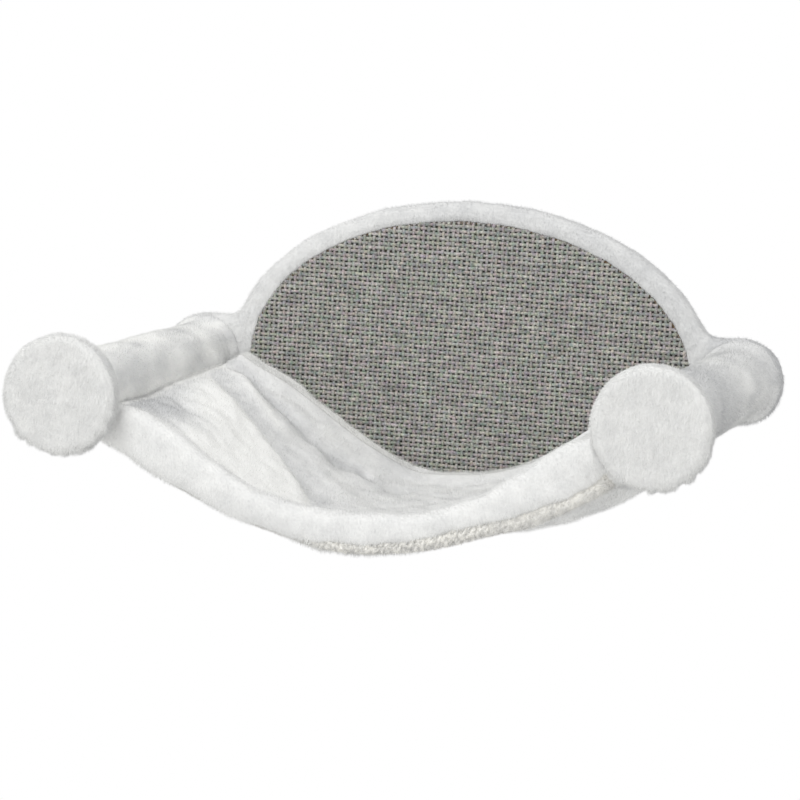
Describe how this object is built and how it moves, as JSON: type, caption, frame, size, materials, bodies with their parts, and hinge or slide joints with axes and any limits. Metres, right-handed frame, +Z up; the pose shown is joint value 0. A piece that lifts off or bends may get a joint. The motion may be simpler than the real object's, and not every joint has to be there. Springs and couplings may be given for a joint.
{
  "type": "wall-mounted cat bed",
  "caption": "Plush hammock slung between two padded posts on an oval plush-covered wall board with a sisal scratching mat.",
  "frame": {"origin": "on the wall plane, midway between the two posts and at the height of their axes", "axes": "+X to the right seen from the room, +Y into the wall, +Z up"},
  "size_m": [0.54, 0.33, 0.2708],
  "materials": {
    "plush": "short white plush pile",
    "sisal": "coarse grey plain-woven sisal",
    "fibreboard": "raw fibreboard",
    "cardboard": "wound brown cardboard tube",
    "pine": "turned softwood, unfinished",
    "steel": "zinc-plated steel",
    "filling": "white polyester wadding"
  },
  "bodies": {
    "root": {"back_board": "fibreboard", "board_cover": "plush", "sisal_mat": "sisal", "post_tube_left": "cardboard", "post_tube_right": "cardboard", "arm_sleeve_left": "plush", "arm_sleeve_right": "plush", "post_rear_plug_left": "pine", "post_rear_plug_right": "pine", "post_front_plug_left": "pine", "post_front_plug_right": "pine", "post_insert_left": "steel", "post_insert_right": "steel", "post_washer_left": "steel", "post_washer_right": "steel", "post_bolt_left": "steel", "post_bolt_right": "steel", "end_disc_left": "pine", "end_disc_right": "pine", "disc_cover_left": "plush", "disc_cover_right": "plush", "disc_screw_left": "steel", "disc_screw_right": "steel", "hanger_plate_left": "steel", "hanger_plate_right": "steel", "hanger_screw_left_outer": "steel", "hanger_screw_left_inner": "steel", "hanger_screw_right_outer": "steel", "hanger_screw_right_inner": "steel", "hammock_top": "plush", "hammock_under": "plush", "front_roll": "plush", "front_roll_filling": "filling", "rear_roll": "plush", "rear_roll_filling": "filling", "front_seam": "plush"}
  },
  "joints": []
}
